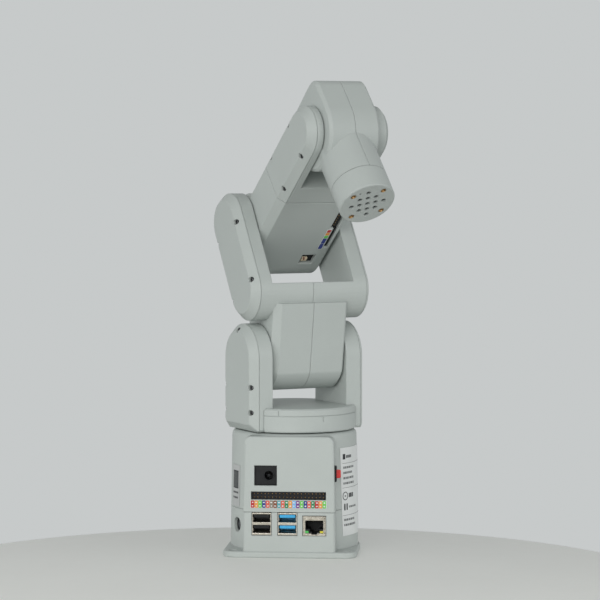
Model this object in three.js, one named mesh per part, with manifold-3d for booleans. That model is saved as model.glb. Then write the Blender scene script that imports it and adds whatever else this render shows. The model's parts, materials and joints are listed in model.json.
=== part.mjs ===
// Desktop six-axis robot arm on a round computer base.
// Millimetres, +Z up, front of the base towards -Y, turntable axis on the Z axis.
import * as THREE from 'three';
import Module from 'manifold-3d';
import { mergeVertices } from 'three/addons/utils/BufferGeometryUtils.js';

const wasm = await Module();
wasm.setup();
const RAD = Math.PI / 180;

// ---- clearances ----
const GAP = 0.3;            // between two pieces of one body
const SEAM = 0.2;           // between two moulded halves
const TURN = 0.9;           // beside a turning face
const SCREW_GAP = 0.15;

// ---- base ----
const PLATE_HALF = 46.8, PLATE_T = 4.2, PLATE_CORNER = 9;
const FOOT_HOLE_AT = 39.6, FOOT_HOLE_R = 1.7, FOOT_SEAT_R = 3.3, FOOT_SEAT_Z = 1.6;
const LAMP_ANGLE = 31.4, LAMP_Z = 20.1, LAMP_R = 5.2, LAMP_CUP_R = 6.8, LAMP_FLOOR = 41.2;
const SPLIT_Z = 31.7;                       // joint between lower and upper shell
const BASE_TOP = 86;
const BASE_R_FOOT = 45.4, BASE_R_TOP = 44;
const BOX_HALF_X = 32.5, BOX_HALF_X_TOP = 31.1, BOX_HALF_Y = 45.6, BOX_TOP = 84.6;
const BOX_CORNER = 4.8, BASE_WALL = 2.4, TOP_EDGE = 3.2;
const BOARD_TOP = 15.8, BOARD_T = 1.6, BOARD_X = 56, BOARD_Y = 85;
const PORT_FACE_Y = -45.9;
const USB_W = 13.3, USB_H = 15.8, USB_D = 17.4;
const USB2_X = -19, USB3_X = -1, LAN_X = 17.75;
const LAN_W = 15.9, LAN_H = 13.6, LAN_D = 21;
const HEADER_X = -0.25, HEADER_Z = 43.4, HEADER_W = 50.8, HEADER_H = 5;
const PIN_PITCH = 2.54, PIN_COLS = 20, PIN_ROWS = 2, PIN_W = 0.64;
const STRIP_W = 53.2, STRIP_H = 5.2, STRIP_Z = 37.5;
const JACK_X = -16.2, JACK_Z = 57.4, JACK_W = 15.8, JACK_H = 14;
const SOCKET_X = -14, SOCKET_R = 3.1;
const SWITCH_Y = -38.4, SWITCH_Z = 58.3, SWITCH_SLOT_H = 11.7, SWITCH_SLOT_W = 5.2;

// ---- turret ----
const YAW = 31.7;                           // turntable turned to the right
const DRUM_Z0 = 86.8, DRUM_TOP = 103.4, DRUM_R = 43.6;
const J2_Z = 137.5, TURRET_R = 24, TURRET_IN = 29;
const LEFT_OUT = 45.1, TURRET_RIGHT_OUT = 42.3, LINK_RIGHT_OUT = 45.8;
const DECK_LINE_Z = 98.1;                   // groove round the drum below its deck
const CHAMFER = 5, COVER_T = 5.8, THIN_COVER_T = 1.9, THIN_CHAMFER = 1.2;

// ---- upper arm: column, cross barrel, two side links ----
const COLUMN_HALF = 28.1, COLUMN_CHAMFER = 4.6, COLUMN_EDGE = 1.6, BARREL_R = 23.6, COLUMN_DEPTH = 22.6, COLUMN_LEN = 42.2;
const CROSS = [6.5, 184.6];                 // cross barrel centre in the arm plane
const LINK_TILT = 31.4, LINK_LEN = 55.2, LINK_R = 20.7;
const LINK_IN_LEFT = 30.4, LINK_IN_RIGHT = 33.4, FLOOR_DROP = 5;

// ---- forearm and wrist ----
const FORE_ELEV = 40.3, AXIS_DROP = 7.1, FORE_LEN = 105.8, FORE_MID = 1.5;
const FORE_HALF = 30.9, FORE_DEPTH = 18.6, FORE_TAIL = 21, ROLL_SEAM = 52.8, RIGHT_CHAMFER = 3;
const WRIST_IN = 20.2, WRIST_FLOOR = 36.6;
const HEAD_HALF = 19.3, HEAD_R = 26.5, HEAD_BACK = 29.5, HEAD_CORNER = 10, HEAD_CHAMFER = 2;
const HEAD_PITCH = -48.1, NECK_R = 19.8, NECK_END = 46.7, FLANGE_END = 64.2, FLANGE_R = 19.5;
const FLANGE_TURN = 17.5, HOLE_PITCH = 5.66, HOLE_R = 1.7, INSERT_AT = 1.87;

// ---------------------------------------------------------------- helpers
const SHELL = new THREE.MeshStandardMaterial({ color: 0xb4bab6, roughness: 0.55 });
const BLACK = new THREE.MeshStandardMaterial({ color: 0x17181a, roughness: 0.6 });
const STEEL = new THREE.MeshStandardMaterial({ color: 0xb9bcc0, roughness: 0.35, metalness: 1 });
const BRASS = new THREE.MeshStandardMaterial({ color: 0xc79a4b, roughness: 0.35, metalness: 1 });
const WHITE = new THREE.MeshStandardMaterial({ color: 0xe9ebe8, roughness: 0.6 });
const GREEN = new THREE.MeshStandardMaterial({ color: 0x1c6b3a, roughness: 0.5 });
const BLUE = new THREE.MeshStandardMaterial({ color: 0x1f5fc4, roughness: 0.5 });
const RED = new THREE.MeshStandardMaterial({ color: 0xc4232b, roughness: 0.45 });
const CREAM = new THREE.MeshStandardMaterial({ color: 0xe6dcc0, roughness: 0.5 });

const group = new THREE.Group();

function fromRings(rings) {
  const n = rings[0].length, pos = [], idx = [];
  for (const ring of rings) for (const p of ring) pos.push(p[0], p[1], p[2]);
  for (let k = 0; k + 1 < rings.length; k++) {
    for (let i = 0; i < n; i++) {
      const j = (i + 1) % n, a = k * n + i, b = k * n + j, c = a + n, d = b + n;
      idx.push(a, b, d, a, d, c);
    }
  }
  const capAt = (k) => {
    const o = k * n, r = rings[k];
    const flat = flatten(r);
    return THREE.ShapeUtils.triangulateShape(flat, []).map((t) => t.map((i) => i + o));
  };
  for (const t of capAt(0)) idx.push(t[0], t[2], t[1]);
  for (const t of capAt(rings.length - 1)) idx.push(t[0], t[1], t[2]);
  const g = new THREE.BufferGeometry();
  g.setAttribute('position', new THREE.Float32BufferAttribute(pos, 3));
  g.setIndex(idx);
  return solid(g);
}

// a flat ring seen in its own plane, as 2-D points
function flatten(ring) {
  const p = ring.map((q) => new THREE.Vector3(...q));
  const n = new THREE.Vector3();
  for (let i = 0; i < p.length; i++) n.add(p[i].clone().cross(p[(i + 1) % p.length]));
  n.normalize();
  const x = p[1].clone().sub(p[0]).normalize();
  const y = n.clone().cross(x);
  return p.map((q) => new THREE.Vector2(q.dot(x), q.dot(y)));
}

function volume(pos, idx) {
  let v = 0;
  const a = new THREE.Vector3(), b = new THREE.Vector3(), c = new THREE.Vector3();
  for (let i = 0; i < idx.length; i += 3) {
    a.fromArray(pos, idx[i] * 3);
    b.fromArray(pos, idx[i + 1] * 3);
    c.fromArray(pos, idx[i + 2] * 3);
    v += a.dot(b.cross(c));
  }
  return v;
}

function solid(geometry) {
  const g = geometry.clone();
  g.deleteAttribute('normal');
  g.deleteAttribute('uv');
  const m = mergeVertices(g, 1e-4);
  const pos = new Float32Array(m.attributes.position.array);
  const idx = new Uint32Array(m.index.array);
  if (volume(pos, idx) < 0) {
    for (let i = 0; i < idx.length; i += 3) [idx[i + 1], idx[i + 2]] = [idx[i + 2], idx[i + 1]];
  }
  return new wasm.Manifold(new wasm.Mesh({ numProp: 3, vertProperties: pos, triVerts: idx }));
}

function geometryOf(body) {
  const m = body.getMesh();
  const g = new THREE.BufferGeometry();
  g.setAttribute('position', new THREE.BufferAttribute(m.vertProperties.slice(), 3));
  g.setIndex(new THREE.BufferAttribute(m.triVerts.slice(), 1));
  return g;
}

// one named piece of the arm; frame places it in the world
function piece(name, body, material, frame = null) {
  const g = geometryOf(body);
  if (frame) g.applyMatrix4(frame);
  g.computeVertexNormals();
  const mesh = new THREE.Mesh(g, material);
  mesh.name = name;
  group.add(mesh);
}

function box(x0, x1, y0, y1, z0, z1) {
  const g = new THREE.BoxGeometry(x1 - x0, y1 - y0, z1 - z0);
  g.translate((x0 + x1) / 2, (y0 + y1) / 2, (z0 + z1) / 2);
  return solid(g);
}

function moved(body, x, y, z) {
  const g = geometryOf(body);
  g.translate(x, y, z);
  return solid(g);
}

function placed(body, matrix) {
  const g = geometryOf(body);
  g.applyMatrix4(matrix);
  return solid(g);
}

// outline points: circle, rounded rectangle, stadium between (0,0) and (0,len)
function circle(r, n = 48) {
  return Array.from({ length: n }, (_, i) => {
    const a = (i + 0.5) / n * 2 * Math.PI;
    return [r * Math.cos(a), r * Math.sin(a)];
  });
}

function arc(cx, cy, r, from, to, n) {
  return Array.from({ length: n + 1 }, (_, i) => {
    const a = (from + (to - from) * i / n) * RAD;
    return [cx + r * Math.cos(a), cy + r * Math.sin(a)];
  });
}

function roundRect(w, h, r, inset = 0, n = 4) {
  const x = w / 2 - r, y = h / 2 - r, q = Math.max(r - inset, 0.01);
  return [...arc(x, y, q, 0, 90, n), ...arc(-x, y, q, 90, 180, n),
    ...arc(-x, -y, q, 180, 270, n), ...arc(x, -y, q, 270, 360, n)];
}

function stadium(r, len, n = 16) {
  return [...arc(0, len, r, 0, 180, n), ...arc(0, 0, r, 180, 360, n)];
}

// a plate standing in the arm plane: outline(inset) gives x,z; stations give y and inset
function sidePlate(outline, stations) {
  return fromRings(stations.map(([y, inset]) => outline(inset).map(([x, z]) => [x, y, z])));
}

// a column along Z: outline(inset) gives x,y; stations give z and inset
function upright(outline, stations) {
  return fromRings(stations.map(([z, inset]) => outline(inset).map(([x, y]) => [x, y, z])));
}

function rod(r, z0, z1, n = 32) {
  return upright((i) => circle(r - i, n), [[z0, 0], [z1, 0]]);
}

// ---------------------------------------------------------------- frames
const ARM = new THREE.Matrix4().makeRotationZ((YAW - 90) * RAD);   // x forward, y to the right
function planeFrame(origin, tilt, side = 0) {
  // x and z turned by tilt degrees about +Y, moved to origin in the arm plane
  const m = new THREE.Matrix4().makeTranslation(origin[0], side, origin[1]);
  return m.multiply(new THREE.Matrix4().makeRotationY(tilt * RAD));
}
const LINK = planeFrame(CROSS, -LINK_TILT);
const COLUMN_TILT = Math.atan2(CROSS[0], CROSS[1] - J2_Z) / RAD;
const COLUMN = planeFrame([0, J2_Z], COLUMN_TILT);
const J3 = [CROSS[0] - LINK_LEN * Math.sin(LINK_TILT * RAD),
  CROSS[1] + LINK_LEN * Math.cos(LINK_TILT * RAD)];
// forearm frame: x along the forearm from the elbow, z up out of its back, on the roll axis
const fc = Math.cos(FORE_ELEV * RAD), fs = Math.sin(FORE_ELEV * RAD);
const ROLL_START = [J3[0] + AXIS_DROP * fs, J3[1] - AXIS_DROP * fc];
const FORE = planeFrame(ROLL_START, -FORE_ELEV, FORE_MID);
const J5 = [ROLL_START[0] + FORE_LEN * fc, ROLL_START[1] + FORE_LEN * fs];
// head frame: z runs from the wrist axis out through the flange
const HEAD = planeFrame(J5, 90 - HEAD_PITCH, FORE_MID);
const inArm = (m) => ARM.clone().multiply(m);

// ---------------------------------------------------------------- base
function baseRadius(z) {
  return BASE_R_FOOT + (BASE_R_TOP - BASE_R_FOOT) * z / BASE_TOP;
}

function roundBody(z0, z1, wall = 0) {
  return fromRings([z0, z1].map((z) => circle(baseRadius(z) - wall, 72).map(([x, y]) => [x, y, z])));
}

// the flat-faced box that carries the ports, front and back
function portBox(z0, z1, wall = 0) {
  const half = (z) => BOX_HALF_X + (BOX_HALF_X_TOP - BOX_HALF_X) * z / BOX_TOP - wall;
  const y = BOX_HALF_Y - wall, r = Math.max(2 - wall, 0.3);
  const ring = (z) => roundRect(2 * half(z), 2 * y, r, 0, 3).map(([px, py]) => [px, py, z]);
  return fromRings([ring(z0), ring(z1)]);
}

// foot plate: square front corners, round back
function plateOutline(inset) {
  const at = PLATE_HALF - PLATE_CORNER, q = PLATE_CORNER - inset;
  return [...arc(at, -at, q, 270, 360, 6), ...arc(0, 0, PLATE_HALF - inset, 0, 180, 40),
    ...arc(-at, -at, q, 180, 270, 6)];
}

// a round bar pointing out through the left front of the base
function lampBar(r, from, to) {
  const g = new THREE.CylinderGeometry(r, r, to - from, 28);
  g.rotateZ(90 * RAD);
  g.translate(-(from + to) / 2, 0, 0);
  g.rotateZ(LAMP_ANGLE * RAD);
  g.translate(0, 0, LAMP_Z);
  return solid(g);
}

function lowerShell() {
  let s = upright(plateOutline, [[0, 0.6], [0.6, 0], [PLATE_T - 0.8, 0], [PLATE_T, 0.8]]);
  s = s.add(roundBody(1, SPLIT_Z)).add(portBox(0, SPLIT_Z));
  s = s.subtract(roundBody(PLATE_T, SPLIT_Z + 1, BASE_WALL));
  s = s.subtract(portBox(PLATE_T, SPLIT_Z + 1, BASE_WALL));
  // windows for the ports in the front wall
  for (const [x, w, h] of [[USB2_X, USB_W, USB_H], [USB3_X, USB_W, USB_H], [LAN_X, LAN_W, LAN_H]]) {
    const top = h === USB_H ? SPLIT_Z + 1 : BOARD_TOP + h + GAP;
    s = s.subtract(box(x - w / 2 - GAP, x + w / 2 + GAP, -BOX_HALF_Y - 1, -BOX_HALF_Y + 4,
      BOARD_TOP - GAP, top));
  }
  // round blind recess for a lamp in the left front
  s = s.add(lampBar(LAMP_CUP_R, LAMP_FLOOR - 1.2, LAMP_FLOOR + 2.2));
  s = s.subtract(lampBar(LAMP_R, LAMP_FLOOR, BASE_R_FOOT + 4));
  // four ledges carry the board, two counterbored holes screw the base down
  for (const sx of [-1, 1]) {
    for (const y of [-38.5, 19.5]) {
      s = s.add(moved(rod(3, PLATE_T - 1, BOARD_TOP - BOARD_T - GAP, 16), sx * 24.5, y, 0));
    }
    const x = sx * FOOT_HOLE_AT;
    s = s.subtract(moved(rod(FOOT_HOLE_R, -1, PLATE_T + 1, 20), x, -FOOT_HOLE_AT, 0));
    s = s.subtract(moved(rod(FOOT_SEAT_R, FOOT_SEAT_Z, PLATE_T + 3, 24), x, -FOOT_HOLE_AT, 0));
  }
  return s;
}

function upperShell() {
  const z0 = SPLIT_Z + SEAM;
  const zs = [z0, BASE_TOP - TOP_EDGE];
  const rings = zs.map((z) => circle(baseRadius(z), 72).map(([x, y]) => [x, y, z]));
  for (const a of [30, 60, 90]) {
    const inset = TOP_EDGE * (1 - Math.cos(a * RAD)), z = BASE_TOP - TOP_EDGE * (1 - Math.sin(a * RAD));
    rings.push(circle(baseRadius(z) - inset, 72).map(([x, y]) => [x, y, z]));
  }
  let s = fromRings(rings);
  // port box with rounded top corners, narrowing a little upwards
  const outline = (half, r) => {
    const lower = BOX_HALF_X - (BOX_HALF_X - BOX_HALF_X_TOP) * z0 / BOX_TOP;
    return [[-lower, z0], [lower, z0], ...arc(half - r, BOX_TOP - r, r, 0, 90, 6),
      ...arc(-half + r, BOX_TOP - r, r, 90, 180, 6)];
  };
  const edged = (i) => outline(BOX_HALF_X_TOP - i, BOX_CORNER)
    .map(([x, z]) => [x * (1 - i / 40), z - i * (z > 60)]);
  s = s.add(sidePlate(edged, [[-BOX_HALF_Y, 0.8], [-BOX_HALF_Y + 0.8, 0],
    [BOX_HALF_Y - 0.8, 0], [BOX_HALF_Y, 0.8]]));
  const roof = 78;
  s = s.subtract(roundBody(z0 - 1, roof, BASE_WALL)).subtract(portBox(z0 - 1, roof, BASE_WALL));
  s = s.subtract(rod(15.6, 70, BASE_TOP + 1, 40));
  s = s.subtract(box(HEADER_X - 26.1, HEADER_X + 26.1, -BOX_HALF_Y - 1, -BOX_HALF_Y + 4,
    HEADER_Z - 2.8, HEADER_Z + 2.8));
  s = s.subtract(box(JACK_X - JACK_W / 2, JACK_X + JACK_W / 2, -BOX_HALF_Y - 1, -BOX_HALF_Y + 4,
    JACK_Z - JACK_H / 2, JACK_Z + JACK_H / 2));
  s = s.subtract(box(28, 40, SWITCH_Y - SWITCH_SLOT_W / 2, SWITCH_Y + SWITCH_SLOT_W / 2,
    SWITCH_Z - SWITCH_SLOT_H / 2, SWITCH_Z + SWITCH_SLOT_H / 2));
  return s;
}

// a double-decker socket: sheet-metal sleeve with two mouths
function stackShell(w, h, d) {
  let s = box(-w / 2, w / 2, 0, d, 0, h);
  for (const z of [1.4, 8.9]) s = s.subtract(box(-w / 2 + 0.5, w / 2 - 0.5, -1, d - 1, z, z + 5.6));
  return s.subtract(box(-w / 2 + 0.5, w / 2 - 0.5, d - 3.3, d - 1, 1.4, 14.5));
}

// the moulding inside a double socket: a back block with one contact tongue in each mouth
function stackInsulator(d) {
  let s = box(-5.9, 5.9, d - 2.9, d - 1.3, 1.7, 14.2);
  for (const z of [5.6, 13.1]) s = s.add(box(-5.5, 5.5, 1.6, d - 2, z, z + 1.1));
  return s;
}

function buildBase() {
  piece('base_lower_shell', lowerShell(), SHELL);
  piece('base_upper_shell', upperShell(), SHELL);
  const board = upright((i) => roundRect(BOARD_X, BOARD_Y, 3, i), [[BOARD_TOP - BOARD_T, 0], [BOARD_TOP, 0]]);
  piece('computer_board', board, GREEN);
  const z = BOARD_TOP + 0.1;
  for (const [name, x, mat] of [['usb2', USB2_X, BLACK], ['usb3', USB3_X, BLUE]]) {
    piece(`${name}_shell`, moved(stackShell(USB_W, USB_H - 0.3, USB_D), x, PORT_FACE_Y, z), STEEL);
    piece(`${name}_insulator`, moved(stackInsulator(USB_D), x, PORT_FACE_Y, z), mat);
  }
  let lan = box(-LAN_W / 2, LAN_W / 2, 0, LAN_D, 0, LAN_H - 0.3);
  lan = lan.subtract(box(-LAN_W / 2 + 0.6, LAN_W / 2 - 0.6, -1, LAN_D - 1, 0.6, LAN_H - 0.9));
  piece('ethernet_shell', moved(lan, LAN_X, PORT_FACE_Y, z), STEEL);
  let jack = box(-LAN_W / 2 + 0.8, LAN_W / 2 - 0.8, 0.5, LAN_D - 1.2, 0.8, LAN_H - 1.1);
  jack = jack.subtract(box(-6, 6, 0, 14, 4.4, 11)).subtract(box(-3.2, 3.2, 0, 14, 2.4, 5.2));
  jack = jack.subtract(box(-1.7, 1.7, 0, 14, 1.2, 3.2));
  piece('ethernet_insert', moved(jack, LAN_X, PORT_FACE_Y, z), BLACK);
  buildHeader();
  let dc = box(-JACK_W / 2 + GAP, JACK_W / 2 - GAP, -BOX_HALF_Y + 1.6, -31,
    -JACK_H / 2 + GAP, JACK_H / 2 - GAP);
  const bore = (r, y0, y1, seg) => {
    const g = new THREE.CylinderGeometry(r, r, y1 - y0, seg);
    g.translate(SOCKET_X - JACK_X, (y0 + y1) / 2, 0);
    return solid(g);
  };
  dc = dc.subtract(bore(SOCKET_R, -50, -35, 32)).add(bore(1, -43, -34, 16));
  piece('dc_jack', moved(dc, JACK_X, 0, JACK_Z), BLACK);
  buildSwitch();
  piece('right_label', patch([-36.8, 13], [-39.3, 75], 4), WHITE);
  piece('left_label', patch([216, 33], [216, 62], 200), WHITE);
  const servo = box(-12, 12, -17, 11, 50, 76).add(rod(6, 74, 81, 24));
  piece('turntable_servo', servo, BLACK);
}

// film on the round body: one slanted edge given as [angle, z] below and above, one upright edge
function patch([lowAngle, z0], [highAngle, z1], other) {
  const n = 8;
  const ring = (angle, z) => {
    const r = baseRadius(z), low = Math.min(angle, other), high = Math.max(angle, other);
    return [...arc(0, 0, r + 0.08, low, high, n), ...arc(0, 0, r + 0.35, high, low, n)]
      .map(([x, y]) => [x, y, z]);
  };
  return fromRings([ring(lowAngle, z0), ring(highAngle, z1)]);
}

function buildHeader() {
  const y = -BOX_HALF_Y + 0.8, back = y + 4;
  let block = box(-HEADER_W / 2, HEADER_W / 2, y, back, -HEADER_H / 2, HEADER_H / 2);
  let pins = box(-HEADER_W / 2, HEADER_W / 2, back + GAP, back + 1.9, -HEADER_H / 2, HEADER_H / 2);
  let holes = null;
  for (let c = 0; c < PIN_COLS; c++) for (let r = 0; r < PIN_ROWS; r++) {
    const x = (c - (PIN_COLS - 1) / 2) * PIN_PITCH, z = (r - 0.5) * PIN_PITCH;
    const w = PIN_W / 2, g = w + SCREW_GAP;
    const hole = box(x - g, x + g, y - 1, back + 1, z - g, z + g);
    holes = holes ? holes.add(hole) : hole;
    pins = pins.add(box(x - w, x + w, y + 1.6, back + 1, z - w, z + w));
  }
  block = block.subtract(holes);
  piece('pin_header', moved(block, HEADER_X, 0, HEADER_Z), BLACK);
  piece('pin_header_pins', moved(pins, HEADER_X, 0, HEADER_Z), BRASS);
  const label = box(-STRIP_W / 2, STRIP_W / 2, -BOX_HALF_Y - 0.35, -BOX_HALF_Y - 0.05,
    STRIP_Z - STRIP_H / 2, STRIP_Z + STRIP_H / 2);
  piece('pin_colour_strip', moved(label, HEADER_X, 0, 0), WHITE);
}

function buildSwitch() {
  const h = SWITCH_SLOT_H / 2 - GAP, w = SWITCH_SLOT_W / 2 - GAP;
  let body = box(24.5, 32.8, -w, w, -h, h);
  body = body.subtract(box(29, 34, -w + 0.7, w - 0.7, -h + 0.7, h - 0.7));
  piece('switch_body', moved(body, 0, SWITCH_Y, SWITCH_Z), BLACK);
  const lever = fromRings([[29.3, 0], [35, 0.2], [35.7, 0.8]].map(([x, i]) =>
    roundRect(2 * (w - 1) - 2 * i, 6.2 - 2 * i, 0.4, 0, 2).map(([y, z]) => [x, y, z])));
  piece('switch_lever', moved(lever, 0, SWITCH_Y, SWITCH_Z), RED);
}

// ---------------------------------------------------------------- turret
// side housing outline: round top over the shoulder axis, flat foot
function arch(inset) {
  const r = TURRET_R - inset, foot = DRUM_Z0 + inset;
  const c = 1.5;
  return [[-r + c, foot], [r - c, foot], [r, foot + c], ...arc(0, J2_Z, r, 0, 180, 24), [-r, foot + c]];
}

const turretScrews = [[0, J2_Z + 19.5], [19.5, 117.9], [19.5, 100.4], [-19.5, 117.9], [-19.5, 100.4]];

// counterbored screw seat in an outer cover at -Y, and the screw in it
function seat(x, z, face) {
  const g = new THREE.CylinderGeometry(1.9, 1.9, 6, 20);
  g.translate(x, face, z);
  return solid(g);
}

function screw(x, z, face) {
  const head = new THREE.CylinderGeometry(1.7, 1.7, 1.3, 20);
  head.translate(x, face + 2.15, z);
  const hex = new THREE.CylinderGeometry(0.85, 0.85, 2, 6);
  hex.translate(x, face + 1.6, z);
  return solid(head).subtract(solid(hex));
}

// a bar along the shoulder axis
function crossBar(r, y0, y1, x, z, n = 40) {
  const g = new THREE.CylinderGeometry(r, r, y1 - y0, n);
  g.translate(x, (y0 + y1) / 2, z);
  return solid(g);
}

function drum() {
  let s = upright((i) => circle(DRUM_R - i, 72),
    [[DRUM_Z0, 0.8], [DRUM_Z0 + 0.8, 0], [DRUM_TOP - 1.2, 0], [DRUM_TOP, 1.2]]);
  // the side housings stand in two notches
  const half = TURRET_R + GAP, inner = TURRET_IN - GAP;
  for (const y of [-60 - inner, inner]) s = s.subtract(box(-half, half, y, y + 60, DRUM_Z0 - 1, DRUM_TOP + 1));
  s = s.add(rod(15.2, 82.5, DRUM_Z0 + 1, 40));
  // groove under the deck, and home marks: one in the rim, one lower down
  const groove = rod(DRUM_R + 2, DECK_LINE_Z, DECK_LINE_Z + 0.3, 72);
  s = s.subtract(groove.subtract(rod(DRUM_R - 0.4, DECK_LINE_Z - 1, DECK_LINE_Z + 1, 72)));
  for (const [a, z0, z1] of [[-9.7, 98.8, 104], [32.5, 94.3, 97.6]]) {
    const g = new THREE.BoxGeometry(1.2, 0.5, z1 - z0);
    g.translate(DRUM_R, 0, (z0 + z1) / 2);
    g.rotateZ((a - YAW) * RAD);
    s = s.subtract(solid(g));
  }
  return s;
}

function buildTurret() {
  const left = -LEFT_OUT, right = TURRET_RIGHT_OUT;
  piece('turret_drum', drum(), SHELL, ARM);
  // housings with a servo pocket under the cover and a round opening for the column's hub
  const hub = crossBar(12.5, -50, 50, 0, J2_Z);
  let housing = sidePlate(arch, [[left + COVER_T + SEAM, 0], [-TURRET_IN, 0]]);
  housing = housing.subtract(box(-13, 13, left, -TURRET_IN - 2.2, 110, 157)).subtract(hub);
  piece('turret_left_housing', housing, SHELL, ARM);
  housing = sidePlate(arch, [[TURRET_IN, 0], [right - THIN_COVER_T - SEAM, 0]]);
  housing = housing.subtract(box(-13, 13, TURRET_IN + 2.2, right, 116, 157)).subtract(hub);
  piece('turret_right_housing', housing, SHELL, ARM);
  let cover = sidePlate(arch, [[left, CHAMFER], [left + CHAMFER, 0], [left + COVER_T, 0]]);
  for (const [x, z] of turretScrews) cover = cover.subtract(seat(x, z, left));
  cover = cover.subtract(box(-13, 13, left + 2.4, left + COVER_T + 1, 112, 150));
  piece('turret_left_cover', cover, SHELL, ARM);
  turretScrews.forEach(([x, z], k) => piece(`turret_screw_${k + 1}`, screw(x, z, left), STEEL, ARM));
  piece('turret_right_cover', sidePlate(arch, [[right - THIN_COVER_T, 0], [right - THIN_CHAMFER, 0],
    [right, THIN_CHAMFER]]), SHELL, ARM);
  const servo = box(-12, 12, left + 2.8, -TURRET_IN - 3.4, 112.5, 149.5);
  piece('shoulder_servo', servo, BLACK, ARM);
}

// ---------------------------------------------------------------- upper arm
const linkScrews = [[16.3, 46.3], [16.3, 0.3], [-16.3, 46.3], [-16.3, 0.3]];

function linkOutline(inset) {
  return stadium(LINK_R - inset, LINK_LEN, 20);
}

// column: round bottom about the shoulder axis, straight sides, flat top
function columnOutline(inset) {
  const d = COLUMN_DEPTH - inset, r = BARREL_R - inset, a = Math.acos(d / r) / RAD;
  return [[d, COLUMN_LEN], [-d, COLUMN_LEN], ...arc(0, 0, r, 180 + a, 360 - a, 28)];
}

function buildUpperArm() {
  const left = -LEFT_OUT, right = LINK_RIGHT_OUT;
  const column = placed(sidePlate(columnOutline, [[-COLUMN_HALF, COLUMN_CHAMFER],
    [-COLUMN_HALF + COLUMN_CHAMFER, 0], [COLUMN_HALF - COLUMN_EDGE, 0], [COLUMN_HALF, COLUMN_EDGE]]), COLUMN);
  const barrelStations = [[-LINK_IN_LEFT - 1, 0], [LINK_IN_RIGHT + 1, 0]];
  const cross = placed(sidePlate((i) => circle(LINK_R - i, 56), barrelStations), LINK);
  const floorCut = placed(box(-40, 40, -LINK_IN_LEFT, LINK_IN_RIGHT, -FLOOR_DROP, 60), LINK);
  const link = (y0, y1) => placed(sidePlate(linkOutline, [[y0, 0], [y1, 0]]), LINK);
  let body = column.add(cross.subtract(floorCut)).add(link(left + COVER_T + SEAM, -LINK_IN_LEFT));
  body = body.add(link(LINK_IN_RIGHT, right - THIN_COVER_T - SEAM)).subtract(floorCut);
  // hubs on the shoulder axis reach into the housings
  body = body.add(crossBar(12.1, -TURRET_IN - 1.8, -COLUMN_HALF + 6, 0, J2_Z));
  body = body.add(crossBar(12.1, COLUMN_HALF - 6, TURRET_IN + 1.8, 0, J2_Z));
  // pockets for the elbow servo and the idler, open under the covers
  const pocket = placed(box(-12.5, 12.5, left, -LINK_IN_LEFT - 2.2, 22, 68), LINK);
  body = body.subtract(pocket);
  body = body.subtract(placed(box(-12.5, 12.5, LINK_IN_RIGHT + 2, right, 22, 68), LINK));
  body = body.subtract(crossBar(11.5, -50, 50, J3[0], J3[1], 36));
  const half = (y0, y1) => body.intersect(box(-90, 90, y0, y1, 80, 280));
  piece('arm_left_half', half(-60, FORE_MID - SEAM / 2), SHELL, ARM);
  piece('arm_right_half', half(FORE_MID + SEAM / 2, 60), SHELL, ARM);
  const frame = inArm(LINK);
  let cover = sidePlate(linkOutline, [[left, CHAMFER], [left + CHAMFER, 0], [left + COVER_T, 0]]);
  for (const [x, z] of linkScrews) cover = cover.subtract(seat(x, z, left));
  cover = cover.subtract(box(-12, 12, left + 2.4, left + COVER_T + 1, 24, 62));
  piece('arm_left_cover', cover, SHELL, frame);
  linkScrews.forEach(([x, z], k) => piece(`arm_screw_${k + 1}`, screw(x, z, left), STEEL, frame));
  piece('arm_right_cover', sidePlate(linkOutline, [[right - THIN_COVER_T, 0], [right - THIN_CHAMFER, 0],
    [right, THIN_CHAMFER]]), SHELL, frame);
  piece('elbow_servo', box(-11.5, 11.5, left + 2.8, -LINK_IN_LEFT - 3.4, 24.5, 61.5), BLACK, frame);
}

// ---------------------------------------------------------------- forearm
// square tube along the roll axis from x0 to x1, round at both ends
function tube(x0, x1) {
  return tubeFrom((i) => {
    const r = FORE_DEPTH - i;
    return [...arc(x0, 0, r, 90, 270, 20), ...arc(x1, 0, r, -90, 90, 20)];
  });
}

// the forearm's own side outline: the tube with a barrel round the elbow axis behind its back
function elbowTube(x1) {
  return tubeFrom((i) => {
    const r = FORE_DEPTH - i, b = LINK_R - i, rise = r - AXIS_DROP;
    const start = Math.asin(rise / b) / RAD;
    const away = Math.atan2(AXIS_DROP, FORE_TAIL) / RAD + 180;
    const side = away - Math.acos((LINK_R - FORE_DEPTH) / Math.hypot(FORE_TAIL, AXIS_DROP)) / RAD;
    return [...arc(0, AXIS_DROP, b, start, side, 12), ...arc(-FORE_TAIL, 0, r, side, 270, 14),
      ...arc(x1, 0, r, -90, 90, 12)];
  });
}

function tubeFrom(outline) {
  return sidePlate(outline, [[-FORE_HALF, CHAMFER], [-FORE_HALF + CHAMFER, 0],
    [FORE_HALF - RIGHT_CHAMFER, 0], [FORE_HALF, RIGHT_CHAMFER]]);
}

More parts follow.
